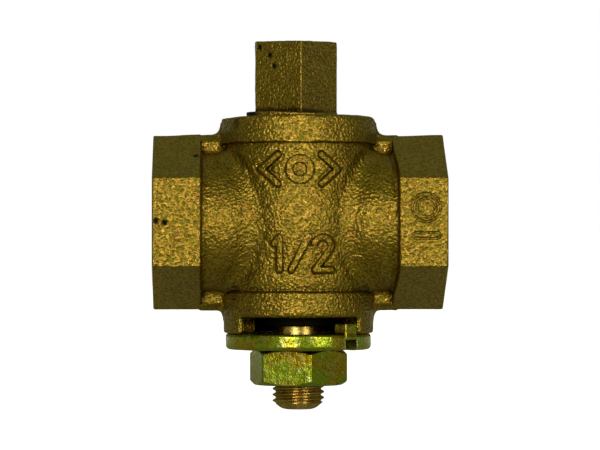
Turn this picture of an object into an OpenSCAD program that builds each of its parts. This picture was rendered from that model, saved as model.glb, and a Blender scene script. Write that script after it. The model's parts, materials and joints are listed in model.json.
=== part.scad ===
// Gas plug valve for half-inch threaded pipe, shown open.
// The origin is where the pipe axis (X) crosses the plug axis (Z); the notch side faces -Y.

/* [Body] */
// Length of the body from one hexagon face to the other
body_len = 52.7; // [46:0.1:64]
// Width across the flats of each hexagon end
hex_af = 27.4; // [25:0.1:32]
// Length of each hexagon end along the pipe
hex_len = 8.5; // [6:0.1:11]
// How far the round neck lies below the hexagon flats
neck_step = 1.1; // [0.4:0.1:1.6]
// Radius of the upright barrel at its top
barrel_top_r = 13.7; // [13:0.1:17]
// Radius of the upright barrel at its bottom
barrel_bottom_r = 13.2; // [12.6:0.1:16]
// Height of the barrel above the pipe axis
barrel_up = 13.85; // [12:0.05:17]
// Depth of the barrel below the pipe axis
barrel_down = 12.4; // [11:0.1:15]
// Thickness of the upright web between a hexagon end and the barrel
web_t = 3.4; // [3:0.1:6]
// Radius of the web's fillets against the collar and the skirt
web_fillet = 2.4; // [1:0.1:3]

/* [Collar and skirt] */
// Outer radius of the collar around the plug's top
collar_r = 14.2; // [13.5:0.1:17]
// Height of the collar
collar_h = 5.4; // [4:0.1:7]
// Rounding of the collar's top edge
collar_round = 0.7; // [0.2:0.1:1.5]
// Outer radius of the skirt above the stop washer
skirt_r = 13.5; // [12.6:0.1:16]
// Height of the skirt
skirt_h = 7.6; // [6:0.1:10]
// Thickness of the skirt's rim
rim_wall = 4; // [2.5:0.1:4.2]
// Height of the rim, which is also the height of the notch for the lug
notch_h = 2.95; // [2.5:0.05:4]

/* [Pipe threads] */
// Radius of each pipe bore at the thread crests
pipe_r = 9.2; // [7.5:0.05:11]
// Width of the chamfer at the mouth of each pipe bore
pipe_chamfer = 0.8; // [0.3:0.1:1.2]
// Wall between the pipe bore's floor and the plug's seat
seat_wall = 3.5; // [2:0.1:5]

/* [Plug] */
// Radius of the tapered plug at its top disc
plug_top_r = 9.45; // [8.5:0.05:11.4]
// Length of taper over which the diameter falls by one
taper_run = 8; // [6:0.5:12]
// How far the plug's top disc stands above the collar
plug_rise = 0.8; // [0.5:0.1:2]
// How far the plug's small end stays above the rim's lower face
plug_recess = 1.4; // [1:0.1:2]
// Width of the flow port
port_w = 7.6; // [6:0.1:9.2]
// Height of the flow port
port_h = 15; // [11:0.1:16]

/* [Square head] */
// Side of the square head
head_side = 10.55; // [8.5:0.05:12.7]
// Height of the square head above the plug's top disc
head_h = 13; // [9:0.1:16]
// Rounding of the head's top edges
head_round = 0.5; // [0.2:0.1:1]
// Turn of the head's near corner away from the front, with the valve open
head_turn = 5.5; // [-20:0.5:20]
// How far the cast head sits off the plug's axis, towards -X with the valve open
head_offset = 0.4; // [0:0.05:0.8]

/* [Stud] */
// Radius of the threaded stud at its thread crests
stud_r = 4.7; // [3.9:0.05:5.7]
// Depth of the flat along the stud that turns the stop washer
stud_flat = 1; // [0.6:0.1:1.5]
// Length of stud that shows below the nut
stud_show = 4.4; // [2:0.1:8]
// Length of the chamfer at the stud's end
stud_chamfer = 1.5; // [0.5:0.1:2]
// Depth of the chamfer at the stud's end
stud_chamfer_in = 2; // [0.8:0.1:2.6]

/* [Stop washer] */
// Outer radius of the stop washer
washer_r = 13.2; // [11.8:0.1:15.9]
// Thickness of the stop washer
washer_t = 2.95; // [2.4:0.05:3.6]
// Width of the lug that is pushed up out of the washer
lug_w = 3; // [2.4:0.1:4]
// Length of the lug, inwards from the washer's edge
lug_len = 2.9; // [2:0.1:3.2]
// Height of the lug above the washer, and depth of the recess under it
lug_rise = 2; // [1.5:0.1:2.3]

/* [Jam nut] */
// Width across the flats of the nut
nut_af = 15.9; // [13.3:0.1:19]
// Thickness of the nut
nut_t = 6.45; // [5:0.05:8]
// How far the round faces of the nut lie inside its flats
nut_face_step = 0.3; // [0.1:0.1:0.6]
// Turn of the nut's front flat
nut_turn = -17; // [-30:1:30]

/* [Fits] */
// Clearance all round between the plug and its seat
plug_gap = 0.05; // [0.02:0.01:0.1]
// Clearance between the rim and the stop washer
washer_gap = 0.05; // [0.02:0.01:0.1]
// Clearance between the stud and the holes of the washer and the nut
stud_gap = 0.05; // [0.02:0.01:0.1]
// Clearance between the lug and each end of the notch
lug_gap = 0.1; // [0.05:0.01:0.3]

/* [Hidden] */
$fn = 96;

// Extra length of a cut past the face that it opens
past = 1;
// Half of the quarter turn between closed and open
half_turn = 45;

// Heights along the plug axis, from the top down
collar_top_z = barrel_up + collar_h;
plug_top_z = collar_top_z + plug_rise;
rim_z = -barrel_down - skirt_h;
notch_top_z = rim_z + notch_h;
plug_bottom_z = rim_z + plug_recess;
washer_top_z = rim_z - washer_gap;
nut_top_z = washer_top_z - washer_t;
nut_bottom_z = nut_top_z - nut_t;
stud_end_z = nut_bottom_z - stud_show;

// Places along the pipe axis
face_x = body_len / 2;
hex_in_x = face_x - hex_len;

// Radii that follow from the sizes above
neck_r = hex_af / 2 - neck_step;
hex_corner_r = hex_af / 2 / cos(30);
rim_inner_r = skirt_r - rim_wall;
stud_hole_r = stud_r + stud_gap;

// Radius of the plug at height z
function plug_r(z) = plug_top_r - (plug_top_z - z) / taper_run / 2;

// Depth of each pipe bore, which stops short of the plug's seat
pipe_depth = face_x - plug_r(pipe_r) - plug_gap - seat_wall;

// Bar with round ends along the pipe axis, as wide and as high as the flow port
module port_bar(length) {
    end_z = (port_h - port_w) / 2;
    for (side = [-1, 1])
        translate([0, 0, side * end_z])
            rotate([0, 90, 0])
                cylinder(h = length, d = port_w, center = true);
    cube([length, port_w, 2 * end_z], center = true);
}

// Upright shape of the body around the plug axis: barrel, collar and skirt
module upright_section() {
    polygon([
        [0, -barrel_down - past],
        [skirt_r - past, -barrel_down - past],
        [barrel_bottom_r, -barrel_down],
        [barrel_top_r, barrel_up],
        [collar_r - past, barrel_up + past],
        [0, barrel_up + past]
    ]);
    translate([0, barrel_up])
        square([collar_r, collar_h - collar_round]);
    translate([0, collar_top_z - collar_round])
        square([collar_r - collar_round, collar_round]);
    translate([collar_r - collar_round, collar_top_z - collar_round])
        circle(collar_round);
    translate([0, rim_z])
        square([skirt_r, skirt_h]);
}

// Web between one hexagon end and the barrel, with its top in line with the hexagon's corner
module web() {
    intersection() {
        translate([hex_in_x / 2 + past / 2, 0, 0])
            cube([hex_in_x + past, web_t, 2 * hex_corner_r], center = true);
        rotate([0, 90, 0])
            cylinder(h = face_x, r = hex_corner_r, $fn = 6);
    }
}

// Fillet that lies in the corner between the web's edge and a round wall of radius wall_r
module web_corner(wall_r) {
    edge_z = hex_corner_r - web_t / 2 / tan(60);
    rotate([90, 0, 0])
        linear_extrude(height = web_t, center = true)
            difference() {
                translate([wall_r - past, edge_z - past])
                    square(web_fillet + past);
                translate([wall_r + web_fillet, edge_z + web_fillet])
                    circle(web_fillet);
            }
}

// Hexagon end, neck and webs on the +X side
module body_arm() {
    translate([hex_in_x, 0, 0])
        rotate([0, 90, 0])
            cylinder(h = hex_len, r = hex_corner_r, $fn = 6);
    rotate([0, 90, 0])
        cylinder(h = hex_in_x + past, r = neck_r);
    web();
    web_corner(collar_r);
    mirror([0, 0, 1])
        web_corner(skirt_r);
}

// Threaded pipe bore on the +X side, at the thread crests, with its mouth chamfer
module pipe_bore() {
    translate([face_x - pipe_depth, 0, 0])
        rotate([0, 90, 0])
            cylinder(h = pipe_depth + past, r = pipe_r);
    translate([face_x - pipe_chamfer, 0, 0])
        rotate([0, 90, 0])
            cylinder(h = pipe_chamfer + past, r1 = pipe_r, r2 = pipe_r + pipe_chamfer + past);
}

// Tapered seat for the plug
module plug_seat() {
    top = collar_top_z + past;
    bottom = notch_top_z - past;
    translate([0, 0, bottom])
        cylinder(h = top - bottom, r1 = plug_r(bottom) + plug_gap, r2 = plug_r(top) + plug_gap);
}

// Hollow inside the rim, with the quarter-turn notch that the lug sweeps
module rim_hollow() {
    reach = 2 * skirt_r;
    slot_half = lug_w / 2 + lug_gap;
    translate([0, 0, rim_z - past])
        cylinder(h = notch_h + past, r = rim_inner_r);
    translate([0, 0, rim_z - past])
        linear_extrude(height = notch_h + past) {
            polygon([[0, 0], [-reach, -reach], [reach, -reach]]);
            for (side = [-1, 1])
                rotate(side * half_turn - 90)
                    translate([0, -slot_half])
                        square([reach, 2 * slot_half]);
        }
}

module body() {
    color("goldenrod")
        difference() {
            union() {
                rotate_extrude()
                    upright_section();
                body_arm();
                mirror([1, 0, 0])
                    body_arm();
            }
            pipe_bore();
            mirror([1, 0, 0])
                pipe_bore();
            port_bar(2 * (face_x - pipe_depth) + past);
            plug_seat();
            rim_hollow();
        }
}

// Square head with rounded top edges, corner forward
module square_head() {
    straight = head_h - head_round;
    core = head_side / 2 - head_round;
    translate([-head_offset, 0, plug_top_z])
        rotate(45 + head_turn) {
            translate([-head_side / 2, -head_side / 2, -past])
                cube([head_side, head_side, straight + past]);
            translate([-core, -core, 0])
                cube([2 * core, 2 * core, head_h]);
            for (turn = [0:90:270])
                rotate(turn)
                    translate([core, 0, straight])
                        rotate([90, 0, 0])
                            cylinder(h = 2 * core, r = head_round, center = true);
            for (turn = [0:90:270])
                rotate(turn)
                    translate([core, core, straight])
                        sphere(head_round);
        }
}

// Stud below the plug, with its end chamfer and the flat that turns the washer
module stud() {
    start_z = plug_bottom_z + past;
    shoulder_z = stud_end_z + stud_chamfer;
    difference() {
        union() {
            translate([0, 0, shoulder_z])
                cylinder(h = start_z - shoulder_z, r = stud_r);
            translate([0, 0, stud_end_z])
                cylinder(h = stud_chamfer, r1 = stud_r - stud_chamfer_in, r2 = stud_r);
        }
        translate([-stud_r - past, stud_r - stud_flat, stud_end_z - past])
            cube([2 * stud_r + 2 * past, stud_flat + past, plug_bottom_z - stud_end_z + past]);
    }
}

module plug() {
    color("darkgoldenrod") {
        difference() {
            translate([0, 0, plug_bottom_z])
                cylinder(h = plug_top_z - plug_bottom_z, r1 = plug_r(plug_bottom_z), r2 = plug_top_r);
            port_bar(2 * plug_top_r + past);
        }
        square_head();
        stud();
    }
}

// Lug block of the stop washer, seen from above, grown by the given side clearance
module lug_outline() {
    rotate(half_turn - 90)
        intersection() {
            translate([washer_r - lug_len, -lug_w / 2])
                square([lug_len + past, lug_w]);
            circle(washer_r);
        }
}

module stop_washer() {
    color("khaki") {
        difference() {
            translate([0, 0, nut_top_z])
                cylinder(h = washer_t, r = washer_r);
            difference() {
                translate([0, 0, nut_top_z - past])
                    cylinder(h = washer_t + 2 * past, r = stud_hole_r);
                translate([-stud_r - past, stud_r - stud_flat + stud_gap, nut_top_z - 2 * past])
                    cube([2 * stud_r + 2 * past, stud_flat + past, washer_t + 4 * past]);
            }
            translate([0, 0, nut_top_z - past])
                linear_extrude(height = lug_rise + past)
                    lug_outline();
        }
        translate([0, 0, nut_top_z + lug_rise])
            linear_extrude(height = washer_t)
                lug_outline();
    }
}

module jam_nut() {
    corner_r = nut_af / 2 / cos(30);
    face_r = nut_af / 2 - nut_face_step;
    cone_r = corner_r + past;
    cone_h = (cone_r - face_r) * tan(30);
    color("khaki")
        difference() {
            intersection() {
                translate([0, 0, nut_bottom_z])
                    rotate(nut_turn)
                        cylinder(h = nut_t, r = corner_r, $fn = 6);
                rotate_extrude()
                    polygon([
                        [0, nut_bottom_z],
                        [face_r, nut_bottom_z],
                        [cone_r, nut_bottom_z + cone_h],
                        [cone_r, nut_top_z - cone_h],
                        [face_r, nut_top_z],
                        [0, nut_top_z]
                    ]);
            }
            translate([0, 0, nut_bottom_z - past])
                cylinder(h = nut_t + 2 * past, r = stud_hole_r);
        }
}

body();
plug();
stop_washer();
jam_nut();
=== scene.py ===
# Looks of a gas plug valve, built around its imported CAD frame.
#
# Each piece is a distance field in millimetres, in the frame's own axes: +X along the pipe, +Z up the plug,
# -Y towards the notch side. A field is negative inside the metal. It is meshed on a grid and then drawn
# onto its true surface, so that cast lumps, fillets, raised marks and screw threads are all in the mesh.

import itertools
import json
import math

import bpy
import numpy as np
import openvdb
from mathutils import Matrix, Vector

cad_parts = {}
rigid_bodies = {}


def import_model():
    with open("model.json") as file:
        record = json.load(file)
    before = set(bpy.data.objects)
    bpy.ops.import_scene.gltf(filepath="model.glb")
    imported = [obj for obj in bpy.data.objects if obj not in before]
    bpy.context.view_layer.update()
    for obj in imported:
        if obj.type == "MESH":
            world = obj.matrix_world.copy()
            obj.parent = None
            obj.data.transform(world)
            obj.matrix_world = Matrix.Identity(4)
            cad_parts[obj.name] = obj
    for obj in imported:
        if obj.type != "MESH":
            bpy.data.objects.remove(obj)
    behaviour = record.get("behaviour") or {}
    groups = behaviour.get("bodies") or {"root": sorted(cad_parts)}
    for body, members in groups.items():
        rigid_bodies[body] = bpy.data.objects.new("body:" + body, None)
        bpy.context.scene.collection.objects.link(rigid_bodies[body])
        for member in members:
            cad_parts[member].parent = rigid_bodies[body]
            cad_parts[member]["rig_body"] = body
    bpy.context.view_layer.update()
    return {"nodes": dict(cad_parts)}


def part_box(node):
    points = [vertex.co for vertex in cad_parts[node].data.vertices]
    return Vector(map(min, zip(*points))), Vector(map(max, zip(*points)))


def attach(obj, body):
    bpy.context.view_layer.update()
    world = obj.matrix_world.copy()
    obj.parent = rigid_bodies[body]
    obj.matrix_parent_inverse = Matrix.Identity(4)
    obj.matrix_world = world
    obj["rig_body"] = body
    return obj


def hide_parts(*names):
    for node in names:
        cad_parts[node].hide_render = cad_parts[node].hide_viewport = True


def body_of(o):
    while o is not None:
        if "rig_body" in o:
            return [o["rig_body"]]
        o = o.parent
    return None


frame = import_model()

MM = 0.001
PAST = 1.0
SQRT3 = math.sqrt(3)

# Most triangles in a piece
MOST_CAST = 190000
MOST_PLATED = 120000


def box_mm(node):
    """Lowest and highest corner of a CAD node in millimetres."""
    low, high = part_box(node)
    return np.array(low) / MM, np.array(high) / MM


BODY_LOW, BODY_HIGH = box_mm("body")
PLUG_LOW, PLUG_HIGH = box_mm("plug")
WASHER_LOW, WASHER_HIGH = box_mm("stop_washer")
NUT_LOW, NUT_HIGH = box_mm("jam_nut")

# Body sizes in mm
FACE_X = BODY_HIGH[0]
HEX_HALF = 13.7
HEX_LEN = 8.7
HEX_IN_X = FACE_X - HEX_LEN
HEX_EDGE = 0.15
NECK_R = HEX_HALF - 1.1
BARREL_TOP_R = 13.3
BARREL_BOTTOM_R = 12.8
BARREL_UP = 13.85
BARREL_DOWN = 12.4
NECK_FILLET = 2.6
NECK_WAIST = 1.6
NECK_WAIST_X = 7.6
NECK_WAIST_LEN = 3.3
PANEL_RISE = 0.4
PANEL_HALF = 5.7
PANEL_FLARE = 0.036
PANEL_EDGE = 1.3
PANEL_BEAD = 0.1
CREASE_DEPTH = 0.28
CREASE_WIDTH = 1.1
COLLAR_DRAFT = 0.04
WEB_HALF = 1.7
WEB_UPPER_FILLET = 2.0
WEB_LOWER_FILLET = 1.4
CREASE_FILLET = 0.8
CAST_WAVES = ((0.07, 2.6), (0.045, 1.1))
WRINKLES = ((0.13, 0.9),)
COLLAR_R = BODY_HIGH[1]
COLLAR_TOP = BODY_HIGH[2]
SKIRT_R = 13.7
RIM_Z = BODY_LOW[2]
RIM_INNER_R = SKIRT_R - 4.0
NOTCH_TOP = RIM_Z + 2.95
NOTCH_SIDE = 1.6

# Pits in the castings in mm: the place of each, and the size that all of them have
BODY_PITS = ((-24.1, -13.7, -0.1), (-25.6, -13.7, 0.2), (-18.6, -6.6, 12.0))
HEAD_PITS = ((-7.1, -1.4, 31.8), (-5.3, -2.9, 30.3), (-4.6, -3.5, 28.3))
PIT_R = 0.45
PIT_DEPTH = 0.3
PIT_DIRT_R = 0.75
SMEAR = (-11.5, -8.2, 17.6)
SMEAR_R = 1.3

# Pipe thread sizes in mm: half-inch tapered pipe thread
PIPE_R = 9.2
PIPE_ROOT_R = 10.6
PIPE_PITCH = 1.814
PIPE_TAPER = 1 / 32
PIPE_MOUTH_R = 10.8

# Plug sizes in mm
PLUG_TOP_R = 9.45
PLUG_TOP = PLUG_HIGH[2] - 13.0
PLUG_BOTTOM = RIM_Z + 1.4
PLUG_TILT = 0.04
TAPER_RUN = 8.0
PLUG_GAP = 0.05
PORT_HALF = 3.8
PORT_STRAIGHT = 3.7
HEAD_HALF = 5.36
HEAD_LEAN = 0.035
HEAD_TOP = PLUG_HIGH[2]
HEAD_ANGLE = math.radians(50.5)
HEAD_OFFSET = 0.4

# Stud sizes in mm: 3/8 inch fine thread
STUD_R = 4.7
STUD_ROOT_R = 4.12
STUD_PITCH = 1.058
STUD_FLAT_Y = 3.7
STUD_END = PLUG_LOW[2]

# Stop washer and nut sizes in mm
WASHER_R = 13.2
WASHER_TOP = RIM_Z - 0.05
WASHER_BOTTOM = WASHER_LOW[2]
LUG_RISE = WASHER_HIGH[2] - WASHER_TOP
LUG_HALF = 1.5
LUG_IN_R = WASHER_R - 2.9
NUT_HALF = 7.95
NUT_TOP = NUT_HIGH[2]
NUT_BOTTOM = NUT_LOW[2]
NUT_TURN = math.radians(-17)
HOLE_GAP = 0.05
NUT_MINOR_R = 4.3


def join(a, b, fillet):
    """Union of two fields with a concave fillet of that radius between them."""
    u = np.maximum(fillet - a, 0)
    v = np.maximum(fillet - b, 0)
    return np.maximum(fillet, np.minimum(a, b)) - np.hypot(u, v)


def carve(a, b, edge):
    """Intersection of two fields with its convex edge rounded to that radius."""
    u = np.maximum(edge + a, 0)
    v = np.maximum(edge + b, 0)
    return np.minimum(-edge, np.maximum(a, b)) + np.hypot(u, v)


def slab(v, low, high):
    """Field of the layer between two values."""
    return np.maximum(low - v, v - high)


def ramp(v, low, high):
    """Smooth step from 0 at low to 1 at high."""
    t = np.clip((v - low) / (high - low), 0, 1)
    return t * t * (3 - 2 * t)


def lumps(x, y, z, size, seed):
    """Smooth seeded noise from about -1 to 1, with lumps of that size."""
    count = 32
    table = np.random.default_rng(seed).uniform(-1, 1, (count, count, count)).astype(np.float32)
    cells = []
    shares = []
    for v in (x, y, z):
        u = v / size
        cell = np.floor(u)
        t = u - cell
        cells.append(cell.astype(np.int32))
        shares.append(t * t * (3 - 2 * t))
    total = 0
    for step in itertools.product((0, 1), repeat=3):
        weight = 1
        for share, up in zip(shares, step):
            weight = weight * (share if up else 1 - share)
        i, j, k = ((cell + up) % count for cell, up in zip(cells, step))
        total = total + weight * table[i, j, k]
    return total


def roughen(metal, x, y, z, waves, seed, share=1.0):
    """Grows a field by seeded lumps, given as pairs of height and size, where it is close to its surface."""
    near = np.abs(metal) < PAST
    spot = (x[near], y[near], z[near])
    local_share = np.broadcast_to(share, metal.shape)[near]
    metal = metal.copy()
    for count, (height, size) in enumerate(waves):
        metal[near] -= height * local_share * lumps(*spot, size, seed + count)
    return metal


def distance_to(x, y, z, place):
    """Distance from a point."""
    return np.sqrt((x - place[0]) ** 2 + (y - place[1]) ** 2 + (z - place[2]) ** 2)


def pitted(metal, x, y, z, pits):
    """Presses small round pits into a field."""
    for place in pits:
        metal = metal + PIT_DEPTH * np.exp(-((distance_to(x, y, z, place) / PIT_R) ** 2))
    return metal


def hexagon(u, v, half, edge):
    """Field of an upright hexagon with flats facing along u."""
    u = np.abs(u)
    v = np.abs(v)
    return carve(u - half, (u + SQRT3 * v) / 2 - half, edge)


def helix(along, around, pitch):
    """Distance from the nearest thread crest, from 0 at the crest to 1 at the root."""
    turn = along / pitch - around / (2 * np.pi)
    return np.abs(2 * (turn - np.floor(turn)) - 1)


def plug_r(z):
    """Radius of the tapered plug at height z."""
    return PLUG_TOP_R - (PLUG_TOP - z) / TAPER_RUN / 2


def port(y, z):
    """Field of the upright oblong flow port."""
    return np.hypot(y, np.maximum(np.abs(z) - PORT_STRAIGHT, 0)) - PORT_HALF


def stroke(u, v, a, b):
    """Distance in a plane from the straight line between points a and b."""
    au, av = a
    du, dv = b[0] - au, b[1] - av
    t = np.clip(((u - au) * du + (v - av) * dv) / (du * du + dv * dv), 0, 1)
    return np.hypot(u - au - t * du, v - av - t * dv)


def ring(u, v, centre, radius):
    """Distance in a plane from a circle's line."""
    return np.abs(np.hypot(u - centre[0], v - centre[1]) - radius)


def nearest(*distances):
    """Least of several distances."""
    return np.minimum.reduce(distances)


def flow_mark(u, v):
    """Distance from the lines of a two-way flow mark: a ring between two open arrow heads."""
    tip, back, wing, radius = 6.8, 3.9, 2.6, 1.9
    left = nearest(stroke(u, v, (-tip, 0), (-back, wing)), stroke(u, v, (-tip, 0), (-back, -wing)))
    right = nearest(stroke(u, v, (tip, 0), (back, wing)), stroke(u, v, (tip, 0), (back, -wing)))
    return nearest(left, right, ring(u, v, (0, 0), radius))


def size_mark(u, v):
    """Distance from the lines of the pipe size, one half, written as plain figures."""
    half = 2.9
    one = nearest(stroke(u, v, (-4.0, -half), (-4.0, half)), stroke(u, v, (-5.0, half - 1.1), (-4.0, half)))
    bar = stroke(u, v, (-1.9, -half), (1.1, half))
    bow_r = 1.5
    bow_at = (3.7, half - bow_r)
    in_bow = (v > bow_at[1]) | ((u > bow_at[0]) & (v > bow_at[1] - bow_r * 0.55))
    bow = np.where(in_bow, ring(u, v, bow_at, bow_r), 9.0)
    neck = stroke(u, v, (bow_at[0] + bow_r * 0.83, bow_at[1] - bow_r * 0.55), (2.3, -half))
    foot = stroke(u, v, (2.3, -half), (5.3, -half))
    return nearest(one, bar, bow, neck, foot)


def relief(distance, height):
    """Height of a raised cast line, with soft sides and a faint moat round it."""
    line = ramp(distance, 0.85, 0.3)
    moat = ramp(distance, 1.5, 0.95) - line
    return height * line - 0.12 * np.maximum(moat, 0)


def stamped(u, v):
    """Depth of a stamped ring and bar, each drawn as a thin double line."""
    outline = nearest(ring(u, v, (0, 0), 2.5), ring(u, v, (0, 0), 1.7))
    bar = np.abs(np.hypot(np.maximum(np.abs(u) - 1.9, 0), v + 5.0) - 0.5)
    return 0.18 * ramp(nearest(outline, bar), 0.32, 0.05)


def panel_edge(x, z):
    """Sideways distance past the edge of the raised hourglass panel between the two necks."""
    return np.abs(x) - PANEL_HALF - PANEL_FLARE * z * z


def webs(x, y, z):
    """Field of the flat webs that carry the hexagon's ridge up to the collar and down to the skirt."""
    ax = np.abs(x)
    az = np.abs(z)
    radius = np.where(z > 0, WEB_UPPER_FILLET, WEB_LOWER_FILLET)
    wall = ax - np.where(z > 0, COLLAR_R, SKIRT_R)
    rise = radius - np.sqrt(np.maximum(radius**2 - np.clip(radius - wall, 0, radius) ** 2, 0))
    crest = (np.abs(y) + SQRT3 * az) / 2 - HEX_HALF
    web = carve(np.abs(y) - WEB_HALF, crest, 0.5)
    gusset = carve(np.abs(y) - 0.7, crest - SQRT3 / 2 * rise, 0.5)
    return carve(join(web, gusset, 0.5), slab(ax, 8.0, HEX_IN_X + 0.4), 0.1)


def body_casting(x, y, z):
    """Field of the body as it was cast, before any machining."""
    ax = np.abs(x)
    r = np.hypot(x, y)
    lean = (BARREL_TOP_R - BARREL_BOTTOM_R) / (BARREL_UP + BARREL_DOWN)
    edge = panel_edge(x, z)
    panel = PANEL_RISE * ramp(edge, PANEL_EDGE, -PANEL_EDGE) + PANEL_BEAD * np.exp(-((edge / 0.8) ** 2))
    crease = np.exp(-(((z + BARREL_DOWN) / CREASE_WIDTH) ** 2))
    crease = crease + np.exp(-(((z - BARREL_UP) / CREASE_WIDTH) ** 2))
    barrel = r - BARREL_BOTTOM_R - lean * (z + BARREL_DOWN) - panel + CREASE_DEPTH * crease
    barrel = carve(barrel, slab(z, RIM_Z + PAST, COLLAR_TOP - PAST), 0.1)
    waist = NECK_WAIST * np.exp(-(((ax - NECK_WAIST_X) / NECK_WAIST_LEN) ** 2))
    neck = carve(np.hypot(y, z) - NECK_R + waist, ax - HEX_IN_X - PAST, 0.1)
    trunk = join(barrel, neck, NECK_FILLET)

    left = ramp(x, 4.0, -13.0)
    collar_top = COLLAR_TOP - 0.09 * left * np.maximum(r - 9.7, 0)
    side = r - COLLAR_R + 0.06 + COLLAR_DRAFT * (z - BARREL_UP)
    collar = carve(side, z - collar_top, 0.85 - 0.75 * left)
    collar = carve(collar, BARREL_UP + 0.35 - z, 0.4)
    trunk = join(trunk, collar, 0.3)
    skirt = carve(r - SKIRT_R + 0.04, z + BARREL_DOWN, 0.6)
    skirt = np.maximum(skirt, RIM_Z - PAST - z)
    trunk = join(trunk, skirt, 0.3)

    lean_in = 0.7 * ramp(np.abs(z), 8.0, 15.0) * (x > 0)
    lift = (0.3 * ramp(x, -25.0, -17.0) * (x < 0) + 0.25 * ramp(x, 18.0, 26.0)) * (z > 0)
    ridge_z = np.abs(z) - lift * np.clip(1 - np.abs(y) / 2.5, 0, 1)
    prism = hexagon(np.hypot(y, 0.08), ridge_z, HEX_HALF, HEX_EDGE)
    end = carve(prism, slab(ax, HEX_IN_X - lean_in, FACE_X + PAST), 0.3)
    whole = join(trunk, np.minimum(webs(x, y, z), end), CREASE_FILLET)

    front = ramp(-y, 2.0, 6.0)
    marks = relief(flow_mark(x + 0.1, z - 9.4), 0.5) + relief(size_mark(x - 0.3, z + 5.6), 0.5)
    rough = 1 - 0.8 * ramp(ax, HEX_IN_X - 0.5, HEX_IN_X + 0.3)
    whole = roughen(whole - marks * front + 0.05 * rough, x, y, z, CAST_WAVES, 11, rough)
    wrinkled = np.exp(-(((edge - 0.4) / 1.6) ** 2)) * (slab(z, -BARREL_DOWN, BARREL_UP) < 0)
    return roughen(whole, x, y, z, WRINKLES, 17, wrinkled)


def pipe_bore(x, y, z):
    """Field of the hole that the drill and the pipe tap leave in each end."""
    ax = np.abs(x)
    r = np.hypot(y, z)
    depth = FACE_X - ax
    floor_x = FACE_X - pipe_depth()
    around = np.arctan2(z, y) * np.sign(x)
    flank = helix(depth, around, PIPE_PITCH)
    root = PIPE_ROOT_R - PIPE_TAPER * depth
    thread = (r - np.maximum(root - SQRT3 / 2 * PIPE_PITCH * flank, PIPE_R)) / 2
    drill = (r - PIPE_R - 0.02)
    tapped = np.minimum(drill, np.maximum(thread, floor_x + 1.6 - ax))
    mouth = (r - PIPE_MOUTH_R + depth) / math.sqrt(2)
    return np.minimum(np.maximum(tapped, floor_x - ax), mouth)


def pipe_depth():
    """Depth of each pipe bore, which stops short of the plug's seat."""
    seat_wall = 3.5
    return FACE_X - plug_r(PIPE_R) - PLUG_GAP - seat_wall


def notch(x, y, z):
    """Field of the quarter-turn opening in the rim that the lug sweeps."""
    wedge = (np.abs(x) + y) / math.sqrt(2) - NOTCH_SIDE
    return carve(wedge, z - NOTCH_TOP, 0.5)


def body(x, y, z):
    """Field of the finished body."""
    r = np.hypot(x, y)
    metal = body_casting(x, y, z)
    metal = pitted(metal, x, y, z, BODY_PITS)
    metal = np.maximum(metal, stamped(x - 22.4, z - 2.6) - y - HEX_HALF)
    metal = carve(metal, np.abs(x) - FACE_X, 0.25)
    metal = carve(metal, RIM_Z - z, 0.45)
    metal = carve(metal, -notch(x, y, z), 0.75)
    hollow = np.maximum(r - RIM_INNER_R, z - NOTCH_TOP)
    seat = r - plug_r(z) - PLUG_GAP
    floor_x = FACE_X - pipe_depth()
    window = np.maximum(port(y, z), np.abs(x) - floor_x - PAST)
    metal = carve(metal, -hollow, 0.15)
    metal = carve(metal, -pipe_bore(x, y, z), 0.12)
    metal = carve(metal, -window, 0.1)
    return carve(metal, -seat, 0.12)


def stud_thread_r(x, y, z):
    """Radius of the stud's thread surface."""
    off_crest = helix(z + STUD_PITCH / 2, np.arctan2(y, x), STUD_PITCH)
    return STUD_R - np.clip(SQRT3 / 2 * STUD_PITCH * off_crest - 0.18, 0, STUD_R - STUD_ROOT_R)


def square(u, v, half, edge):
    """Field of an upright square bar."""
    return carve(np.abs(u) - half, np.abs(v) - half, edge)


def plug(x, y, z):
    """Field of the plug with its square head and threaded stud."""
    r = np.hypot(x, y)
    top = PLUG_TOP - PLUG_TILT * (x + PLUG_TOP_R)
    taper = carve(r - plug_r(z), np.maximum(z - top, PLUG_BOTTOM - z), 0.15)
    taper = carve(taper, -port(y, z), 0.1)
    u = (x + HEAD_OFFSET) * math.cos(HEAD_ANGLE) + y * math.sin(HEAD_ANGLE)
    v = y * math.cos(HEAD_ANGLE) - (x + HEAD_OFFSET) * math.sin(HEAD_ANGLE)
    head_top = HEAD_TOP - 0.12 - HEAD_LEAN * np.maximum(-y, 0)
    head = carve(square(u, v, HEAD_HALF, 0.2), np.maximum(z - head_top, PLUG_TOP - 2 * PAST - z), 0.25)
    head = roughen(head + 0.01, x, y, z, CAST_WAVES, 23)
    head = pitted(head, x, y, z, HEAD_PITS)
    crown = join(taper, head, 0.3 + 0.5 * ramp(x, 2.0, 6.0))
    shank = r - STUD_R + 0.02
    thread = (r - stud_thread_r(x, y, z)) / 2
    bar = np.where(z > NUT_TOP, shank, thread)
    cone = (r - 2.9 - 1.25 * (z - STUD_END)) / 1.6
    end = carve(np.maximum(bar, cone), STUD_END - z, 0.5)
    stud = carve(np.maximum(end, z - PLUG_BOTTOM - PAST), y - STUD_FLAT_Y, 0.1)
    return join(crown, stud, 0.15)


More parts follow.
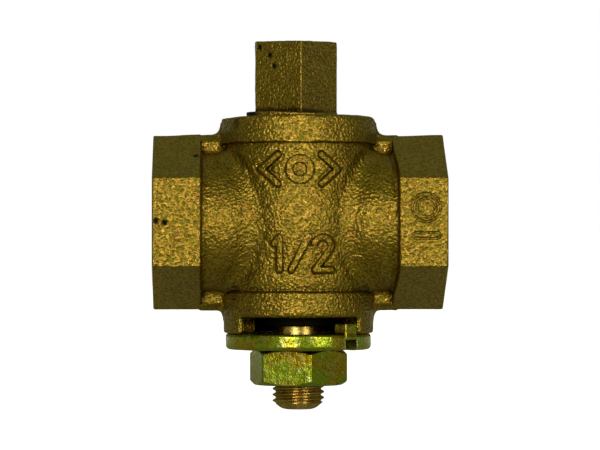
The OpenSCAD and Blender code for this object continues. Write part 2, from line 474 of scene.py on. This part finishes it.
def stop_washer(x, y, z):
    """Field of the stop washer with its raised lug."""
    r = np.hypot(x, y)
    disc = carve(r - WASHER_R, z - WASHER_TOP - 0.03, 0.6)
    disc = carve(disc, WASHER_BOTTOM - z, 0.8)
    disc = roughen(disc + 0.03, x, y, z, ((0.03, 1.7), (0.015, 0.7)), 37)
    disc = np.maximum(disc, z - WASHER_TOP)
    hole = np.maximum(r - STUD_R - HOLE_GAP, y - STUD_FLAT_Y - HOLE_GAP)
    disc = carve(disc, -hole, 0.12)
    along = (x - y) / math.sqrt(2)
    across = (x + y) / math.sqrt(2)
    plan = carve(carve(r - WASHER_R, LUG_IN_R - along, 0.3), np.abs(across) - LUG_HALF, 0.25)
    recess = np.maximum(plan - 0.02, z - WASHER_BOTTOM - LUG_RISE)
    lug = carve(plan, slab(z, WASHER_BOTTOM + LUG_RISE, WASHER_TOP + LUG_RISE), 0.3)
    lug = roughen(lug + 0.03, x, y, z, ((0.04, 0.9),), 39)
    return join(carve(disc, -recess, 0.2), lug, 0.3)


def jam_nut(x, y, z):
    """Field of the hexagon nut."""
    r = np.hypot(x, y)
    u = y * math.cos(NUT_TURN) - x * math.sin(NUT_TURN)
    v = x * math.cos(NUT_TURN) + y * math.sin(NUT_TURN)
    middle = (NUT_TOP + NUT_BOTTOM) / 2
    half_t = (NUT_TOP - NUT_BOTTOM) / 2
    face = np.abs(z - middle) - half_t
    bevel = (r - NUT_HALF + 0.1 + (np.abs(z - middle) - half_t) * SQRT3) / 2
    block = carve(carve(hexagon(u, v, NUT_HALF, 0.3), bevel, 0.12), face, 0.1)
    bore = np.maximum(stud_thread_r(x, y, z) + HOLE_GAP, NUT_MINOR_R)
    mouth = r - STUD_R - 0.2 - face
    hole = np.minimum((r - bore) / 2, mouth / math.sqrt(2))
    return roughen(carve(block, -hole, 0.1) + 0.012, x, y, z, ((0.012, 0.8),), 41)


def gradient(field, points, step=0.03):
    """Slope of a field at points, an array of rows."""
    slope = np.empty_like(points)
    for axis in range(3):
        ahead = points.copy()
        behind = points.copy()
        ahead[:, axis] += step
        behind[:, axis] -= step
        slope[:, axis] = (field(*ahead.T) - field(*behind.T)) / (2 * step)
    return slope


def settle(field, points, cell, rounds):
    """Moves points onto the field's surface."""
    for _ in range(rounds):
        slope = gradient(field, points)
        share = field(*points.T) / np.maximum((slope**2).sum(1), 0.05)
        step = np.clip(share[:, None] * slope, -cell / 2, cell / 2)
        points = points - step
    return points


def unit(rows):
    """Each row at length one."""
    return rows / np.maximum(np.linalg.norm(rows, axis=1, keepdims=True), 1e-9)


def grid_mesh(field, low, high, cell):
    """Points and quads of the field's surface between two corners."""
    low = np.array(low) - 2.37 * cell
    counts = np.ceil((np.array(high) - low) / cell).astype(int) + 3
    axes = [(low[i] + cell * np.arange(counts[i])).astype(np.float32) for i in range(3)]
    values = np.empty(counts, np.float32)
    rows = 24
    for first in range(0, counts[0], rows):
        part = np.meshgrid(axes[0][first : first + rows], axes[1], axes[2], indexing="ij")
        values[first : first + rows] = field(*part)
    far = 3 * cell
    grid = openvdb.FloatGrid(far)
    grid.copyFromArray(np.clip(values, -far, far).astype(np.float32))
    points, quads = grid.convertToQuads(0.0)
    return points * cell + low, quads


def new_mesh(name, points, faces):
    """Mesh in metres from points in millimetres."""
    mesh = bpy.data.meshes.new(name)
    mesh.from_pydata(points * MM, [], faces)
    mesh.validate()
    return mesh


def thin_mesh(mesh, most):
    """Copy of a mesh with fewer triangles, fewest where it is flat."""
    triangles = 2 * len(mesh.polygons)
    if triangles <= most:
        return mesh
    piece = bpy.data.objects.new(mesh.name, mesh)
    bpy.context.scene.collection.objects.link(piece)
    piece.modifiers.new("thin", "DECIMATE").ratio = most / triangles
    thin = bpy.data.meshes.new_from_object(piece.evaluated_get(bpy.context.evaluated_depsgraph_get()))
    bpy.data.objects.remove(piece)
    return thin


def mesh_points(mesh):
    """Vertex places of a mesh in millimetres."""
    points = np.empty(len(mesh.vertices) * 3)
    mesh.vertices.foreach_get("co", points)
    return points.reshape(-1, 3) / MM


def write_attribute(mesh, name, values):
    """Stores one number per vertex for the materials."""
    mesh.attributes.new(name, "FLOAT", "POINT").data.foreach_set("value", values.astype(np.float32))


def make_piece(name, field, node, machined, dirt_and_shade, cell, most=MOST_CAST):
    """Meshes a field into a piece that stands for a CAD node, with what the materials read from it."""
    low, high = box_mm(node)
    points, quads = grid_mesh(field, low, high, cell)
    points = settle(field, points, cell, 2)
    mesh = thin_mesh(new_mesh(name, points, quads), most)
    points = settle(field, mesh_points(mesh), cell, 1)
    mesh.vertices.foreach_set("co", (points * MM).ravel())
    normals = unit(gradient(field, points))
    # How closed in each point is, which the materials paint as shade in creases and hollows
    reach = 1.4
    write_attribute(mesh, "crevice_shade", np.clip(1 - field(*(points + reach * normals).T) / reach, 0, 1))
    # How convex each point is, which the materials paint lighter as wear and a highlight on edges
    reach = 0.6
    write_attribute(mesh, "edge", np.clip(1 + field(*(points - reach * normals).T) / reach, 0, 1))
    write_attribute(mesh, "machined", machined(*points.T))
    # Black marks: grease and grime, and painted shade in hollows that lie in shadow
    write_attribute(mesh, "dirt_and_shade", dirt_and_shade(*points.T))
    mesh.polygons.foreach_set("use_smooth", np.ones(len(mesh.polygons), bool))
    mesh.normals_split_custom_set_from_vertices(normals)
    mesh.update()
    piece = bpy.data.objects.new(name, mesh)
    bpy.context.scene.collection.objects.link(piece)
    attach(piece, body_of(frame["nodes"][node])[0])
    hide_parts(node)
    return piece


def body_machined(x, y, z):
    """Where the body was turned, drilled or tapped: the end faces and every bore."""
    r = np.hypot(x, y)
    floor_x = FACE_X - pipe_depth()
    in_bore = (np.hypot(y, z) < PIPE_MOUTH_R + 0.1) & (np.abs(x) > floor_x - 0.1)
    in_seat = (r < plug_r(z) + 0.4) & (z < COLLAR_TOP + PAST)
    in_rim = (r < RIM_INNER_R + 0.05) & (z < NOTCH_TOP + 0.1)
    end_face = np.abs(x) > FACE_X - 0.12
    under = z < RIM_Z + 0.12
    return (in_bore | in_seat | in_rim | end_face | under).astype(float)


def dirt_near(x, y, z, places, radius):
    """Dirt that fades out round each of some places."""
    distance = nearest(*(distance_to(x, y, z, place) for place in places))
    return ramp(distance, radius, 0.4 * radius)


def body_dirt_and_shade(x, y, z):
    """Black on the body: grease and painted shade in the rim's hollow, and round a few pits and a smear on
    the collar.
    """
    # Grease and painted shade in the rim's hollow, which lies in shadow
    hollow = (np.hypot(x, y) < RIM_INNER_R + 0.05) & (z < NOTCH_TOP + 0.1)
    smear = 0.7 * dirt_near(x, y, z, (SMEAR,), SMEAR_R)
    return np.maximum.reduce([hollow, smear, dirt_near(x, y, z, BODY_PITS, PIT_DIRT_R)])


def plug_dirt_and_shade(x, y, z):
    """Black on the plug: grease and painted shade round its small end, and round a few pits and along the
    left edge of its top disc.
    """
    # Grease and painted shade round the plug's small end, which lies in the rim's shadow
    small_end = (z < NOTCH_TOP + PAST) & (z > PLUG_BOTTOM - 0.1)
    rim = ramp(x, -7.0, -8.3) * (z < PLUG_TOP + 0.1) * (z > COLLAR_TOP - 0.5)
    return np.maximum.reduce([small_end, rim, dirt_near(x, y, z, HEAD_PITS, PIT_DIRT_R)])


def no_dirt(x, y, z):
    """A clean piece."""
    return np.zeros_like(x)


def plug_machined(x, y, z):
    """Where the plug was turned: everything below its top disc."""
    return (z < PLUG_TOP - PAST).astype(float)


def all_machined(x, y, z):
    """A piece that was machined all over."""
    return np.ones_like(x)


# The grid cells here are in mm
cast_body = make_piece("cast_body", body, "body", body_machined, body_dirt_and_shade, 0.24)
cast_plug = make_piece("cast_plug", plug, "plug", plug_machined, plug_dirt_and_shade, 0.17)
plated_washer = make_piece(
    "plated_stop_washer", stop_washer, "stop_washer", all_machined, no_dirt, 0.15, MOST_PLATED
)
plated_nut = make_piece("plated_jam_nut", jam_nut, "jam_nut", all_machined, no_dirt, 0.13, MOST_PLATED)


class Nodes:
    """Builds a node tree with short calls. Sizes are in millimetres on the object."""

    def __init__(self, tree):
        self.tree = tree
        self.tree.nodes.clear()
        self.place = self.add("ShaderNodeTexCoord")

    def add(self, kind, **settings):
        node = self.tree.nodes.new(kind)
        for key, value in settings.items():
            setattr(node, key, value)
        return node

    def put(self, socket, value):
        if isinstance(value, bpy.types.NodeSocket):
            self.tree.links.new(value, socket)
        else:
            socket.default_value = value

    def attribute(self, name):
        return self.add("ShaderNodeAttribute", attribute_name=name).outputs["Fac"]

    def noise(self, size, detail=2.0, roughness=0.6, shift=0.0, stretch=(1, 1, 1)):
        mapping = self.add("ShaderNodeMapping")
        self.put(mapping.inputs["Vector"], self.place.outputs["Object"])
        mapping.inputs["Location"].default_value = (shift, shift, shift)
        mapping.inputs["Scale"].default_value = tuple(s / (size * MM) for s in stretch)
        noise = self.add("ShaderNodeTexNoise")
        self.put(noise.inputs["Vector"], mapping.outputs["Vector"])
        noise.inputs["Scale"].default_value = 1.0
        noise.inputs["Detail"].default_value = detail
        noise.inputs["Roughness"].default_value = roughness
        return noise.outputs["Fac"]

    def math(self, operation, a, b=0.0):
        node = self.add("ShaderNodeMath", operation=operation)
        self.put(node.inputs[0], a)
        self.put(node.inputs[1], b)
        return node.outputs[0]

    def span(self, value, low, high, to_low=0.0, to_high=1.0):
        node = self.add("ShaderNodeMapRange", interpolation_type="SMOOTHSTEP")
        self.put(node.inputs["Value"], value)
        node.inputs["From Min"].default_value = low
        node.inputs["From Max"].default_value = high
        node.inputs["To Min"].default_value = to_low
        node.inputs["To Max"].default_value = to_high
        return node.outputs["Result"]

    def mix(self, share, a, b):
        node = self.add("ShaderNodeMix", data_type="RGBA")
        self.put(node.inputs["Factor"], share)
        self.put(node.inputs["A"], (*a, 1.0) if isinstance(a, tuple) else a)
        self.put(node.inputs["B"], (*b, 1.0) if isinstance(b, tuple) else b)
        return node.outputs["Result"]

    def mix_value(self, share, a, b):
        node = self.add("ShaderNodeMix", data_type="FLOAT")
        self.put(node.inputs["Factor"], share)
        self.put(node.inputs["A"], a)
        self.put(node.inputs["B"], b)
        return node.outputs["Result"]

    def bump(self, height, depth_mm):
        node = self.add("ShaderNodeBump")
        node.inputs["Distance"].default_value = depth_mm * MM
        self.put(node.inputs["Height"], height)
        return node.outputs["Normal"]

    def metal(self, colour, roughness, normal):
        shader = self.add("ShaderNodeBsdfPrincipled")
        shader.inputs["Metallic"].default_value = 1.0
        self.put(shader.inputs["Base Color"], colour)
        self.put(shader.inputs["Roughness"], roughness)
        self.put(shader.inputs["Normal"], normal)
        output = self.add("ShaderNodeOutputMaterial")
        self.put(output.inputs["Surface"], shader.outputs["BSDF"])


def new_material(name):
    """Empty material and its node builder."""
    material = bpy.data.materials.new(name)
    material.use_nodes = True
    return material, Nodes(material.node_tree)


BRONZE_GOLD = (0.33, 0.195, 0.021)
BRONZE_TAN = (0.45, 0.26, 0.06)
BRONZE_OLIVE = (0.17, 0.13, 0.010)
BRONZE_RUST = (0.22, 0.105, 0.014)
# Colour of the painted shade and tarnish in creases and hollows
BRONZE_SHADE = (0.05, 0.026, 0.004)
BRONZE_TURNED = (0.55, 0.38, 0.10)
# Black for grease and grime, and for painted shade in hollows
GREASE_AND_SHADE = (0.012, 0.009, 0.005)


def bronze(name):
    """Sand-cast bronze with a grainy tarnished skin, bright where it was turned; painted shade and tarnish
    darken its creases, wear and a painted highlight lighten its edges, and black marks grease and painted
    shade.
    """
    material, n = new_material(name)
    machined = n.attribute("machined")
    crevice_shade = n.attribute("crevice_shade")
    edge = n.attribute("edge")
    dirt_and_shade = n.attribute("dirt_and_shade")
    grain = n.noise(0.48, 0.5, 0.4)
    speck = n.noise(0.3, 1.0, 0.5, 3.1)
    patch = n.noise(2.6, 3.0, 0.65, 7.7)
    bloom = n.noise(1.7, 3.0, 0.7, 12.3)
    colour = n.mix(n.span(grain, 0.36, 0.62), BRONZE_OLIVE, BRONZE_GOLD)
    colour = n.mix(n.span(patch, 0.48, 0.68, 0.0, 0.6), colour, BRONZE_RUST)
    colour = n.mix(n.span(bloom, 0.5, 0.72, 0.0, 0.5), colour, BRONZE_OLIVE)
    colour = n.mix(n.span(speck, 0.54, 0.7, 0.0, 0.8), colour, BRONZE_TAN)
    # Wear and painted highlight: lighter on convex edges
    colour = n.mix(n.span(edge, 0.35, 0.8, 0.0, 0.6), colour, BRONZE_TAN)
    # Painted shade and tarnish: darker in creases and hollows
    colour = n.mix(n.span(crevice_shade, 0.15, 0.6, 0.0, 0.85), colour, BRONZE_SHADE)
    turned = n.mix(n.span(n.noise(2.2, 3.0, 0.6, 1.3), 0.4, 0.7), BRONZE_TURNED, BRONZE_GOLD)
    colour = n.mix(machined, colour, turned)
    # Black grease and grime, and painted shade in the rim's hollow and round the plug's small end
    colour = n.mix(dirt_and_shade, colour, GREASE_AND_SHADE)
    roughness = n.mix_value(machined, n.span(grain, 0.3, 0.7, 0.46, 0.3), n.span(speck, 0.3, 0.7, 0.22, 0.34))
    roughness = n.mix_value(dirt_and_shade, roughness, 0.6)
    depth = n.mix_value(machined, 1.0, 0.05)
    height = n.math("MULTIPLY", n.math("ADD", grain, n.math("MULTIPLY", speck, 0.5)), depth)
    n.metal(colour, roughness, n.bump(height, 0.24))
    return material


ZINC_PALE = (0.66, 0.64, 0.36)
ZINC_GREEN = (0.28, 0.34, 0.016)
ZINC_AMBER = (0.38, 0.25, 0.010)
ZINC_BROWN = (0.16, 0.09, 0.008)


def yellow_zinc(name, seed):
    """Yellow passivated zinc plating: pale, green and amber films over fine scratches, with painted shade in
    its creases and wear and a painted highlight on its edges.
    """
    material, n = new_material(name)
    crevice_shade = n.attribute("crevice_shade")
    edge = n.attribute("edge")
    film = n.noise(6.0, 2.0, 0.5, seed)
    cloud = n.noise(1.1, 3.0, 0.7, seed + 2.0)
    scratch = n.noise(0.3, 2.0, 0.6, seed + 4.0, (1, 1, 0.5))
    colour = n.mix(n.span(film, 0.42, 0.6), ZINC_GREEN, ZINC_AMBER)
    colour = n.mix(n.span(cloud, 0.5, 0.75, 0.0, 0.5), colour, ZINC_PALE)
    colour = n.mix(n.span(scratch, 0.54, 0.7, 0.0, 0.8), colour, ZINC_BROWN)
    # Painted shade: browner in creases
    colour = n.mix(n.span(crevice_shade, 0.3, 0.9, 0.0, 0.8), colour, ZINC_BROWN)
    # Wear and painted highlight: paler on convex edges
    colour = n.mix(n.span(edge, 0.3, 0.8, 0.0, 0.4), colour, ZINC_PALE)
    roughness = n.span(cloud, 0.3, 0.7, 0.2, 0.3)
    height = n.math("ADD", cloud, n.math("MULTIPLY", scratch, 0.6))
    n.metal(colour, roughness, n.bump(height, 0.05))
    return material


cast_body.data.materials.append(bronze("cast_bronze"))
cast_plug.data.materials.append(bronze("cast_bronze_plug"))
plated_washer.data.materials.append(yellow_zinc("zinc_washer", 1.0))
plated_nut.data.materials.append(yellow_zinc("zinc_nut", 5.0))


# Floor and studio: the floor's gap is in mm, its size and the reach of its mirror image are in metres
FLOOR_SIZE = 4.0
FLOOR_GAP = 0.05
FLOOR_COLOUR = (0.75, 0.77, 0.68)
FLOOR_NEAR = 0.3
FLOOR_FAR = 1.0
STUDIO_TINT = (0.84, 1.0, 0.5)
STUDIO_SIDE = 0.1
STUDIO_TOP = 0.3
BACKDROP_EDGE = (0.975, 0.995)


def away(azimuth, elevation, distance):
    """Point at that distance from the origin. Azimuth 0 is towards -Y and turns towards +X, in degrees."""
    a = math.radians(azimuth)
    e = math.radians(elevation)
    return distance * Vector((math.sin(a) * math.cos(e), -math.cos(a) * math.cos(e), math.sin(e)))


def aim(thing, target):
    """Turns a camera or lamp towards a point."""
    thing.rotation_euler = (target - thing.location).to_track_quat("-Z", "Y").to_euler()


def add_camera():
    """Camera where the photograph was taken from."""
    data = bpy.data.cameras.new("camera")
    data.sensor_width = 36
    data.lens = 181.8
    data.clip_start = 0.05
    data.clip_end = 20
    camera = bpy.data.objects.new("camera", data)
    bpy.context.scene.collection.objects.link(camera)
    target = Vector((0.31, 0.0, -0.42)) * MM
    camera.location = target + away(-1.6, -0.5, 0.551)
    aim(camera, target)
    bpy.context.scene.camera = camera


def add_lamp(name, azimuth, elevation, power, size):
    """Soft area lamp aimed at the object."""
    data = bpy.data.lights.new(name, "AREA")
    data.shape = "DISK"
    data.size = size
    data.energy = power
    lamp = bpy.data.objects.new(name, data)
    bpy.context.scene.collection.objects.link(lamp)
    lamp.location = away(azimuth, elevation, 0.8)
    aim(lamp, Vector())


def add_floor():
    """Pale floor under the object, which the camera sees as white and which keeps the object's shadow."""
    material, n = new_material("floor")
    rays = n.add("ShaderNodeLightPath").outputs
    apart = n.add("ShaderNodeVectorMath", operation="LENGTH")
    n.put(apart.inputs[0], n.place.outputs["Object"])
    mirrored = n.math("MAXIMUM", rays["Is Glossy Ray"], rays["Is Transmission Ray"])
    mirrored = n.math("MULTIPLY", mirrored, n.span(apart.outputs["Value"], FLOOR_NEAR, FLOOR_FAR))
    pale = n.add("ShaderNodeBsdfDiffuse")
    pale.inputs["Color"].default_value = (*FLOOR_COLOUR, 1.0)
    white = n.add("ShaderNodeEmission")
    n.put(white.inputs["Strength"], n.math("MAXIMUM", rays["Is Camera Ray"], mirrored))
    both = n.add("ShaderNodeAddShader")
    n.put(both.inputs[0], pale.outputs["BSDF"])
    n.put(both.inputs[1], white.outputs["Emission"])
    output = n.add("ShaderNodeOutputMaterial")
    n.put(output.inputs["Surface"], both.outputs["Shader"])
    half = FLOOR_SIZE / 2
    mesh = bpy.data.meshes.new("floor")
    corners = [(-half, -half, 0), (half, -half, 0), (half, half, 0), (-half, half, 0)]
    mesh.from_pydata(corners, [], [(0, 1, 2, 3)])
    mesh.materials.append(material)
    floor = bpy.data.objects.new("floor", mesh)
    floor.location = (0, 0, (PLUG_LOW[2] - FLOOR_GAP) * MM)
    bpy.context.scene.collection.objects.link(floor)


def add_world():
    """White backdrop, which the metal mirrors only behind the object, and dim studio light elsewhere."""
    world = bpy.data.worlds.new("studio")
    bpy.context.scene.world = world
    world.use_nodes = True
    n = Nodes(world.node_tree)
    rays = n.add("ShaderNodeLightPath").outputs
    split = n.add("ShaderNodeSeparateXYZ")
    n.put(split.inputs[0], n.place.outputs["Generated"])
    backdrop = n.span(split.outputs["Y"], *BACKDROP_EDGE)
    mirrored = n.math("MAXIMUM", rays["Is Glossy Ray"], rays["Is Transmission Ray"])
    mirrored = n.math("MULTIPLY", mirrored, backdrop)
    white = n.math("MAXIMUM", rays["Is Camera Ray"], mirrored)
    dim = n.add("ShaderNodeBackground")
    dim.inputs["Color"].default_value = (*STUDIO_TINT, 1.0)
    height = n.math("ABSOLUTE", split.outputs["Z"])
    n.put(dim.inputs["Strength"], n.span(height, 0.0, 0.8, STUDIO_SIDE, STUDIO_TOP))
    bright = n.add("ShaderNodeBackground")
    bright.inputs["Color"].default_value = (1.0, 1.0, 1.0, 1.0)
    mixed = n.add("ShaderNodeMixShader")
    n.put(mixed.inputs[0], white)
    n.put(mixed.inputs[1], dim.outputs[0])
    n.put(mixed.inputs[2], bright.outputs[0])
    output = n.add("ShaderNodeOutputWorld")
    n.put(output.inputs["Surface"], mixed.outputs[0])


add_camera()
add_lamp("lamp_left", -15, 9.5, 2.3, 0.3)
add_lamp("lamp_right", 33, 9.5, 1.55, 0.3)
add_floor()
add_world()
bpy.context.scene.view_settings.view_transform = "Standard"
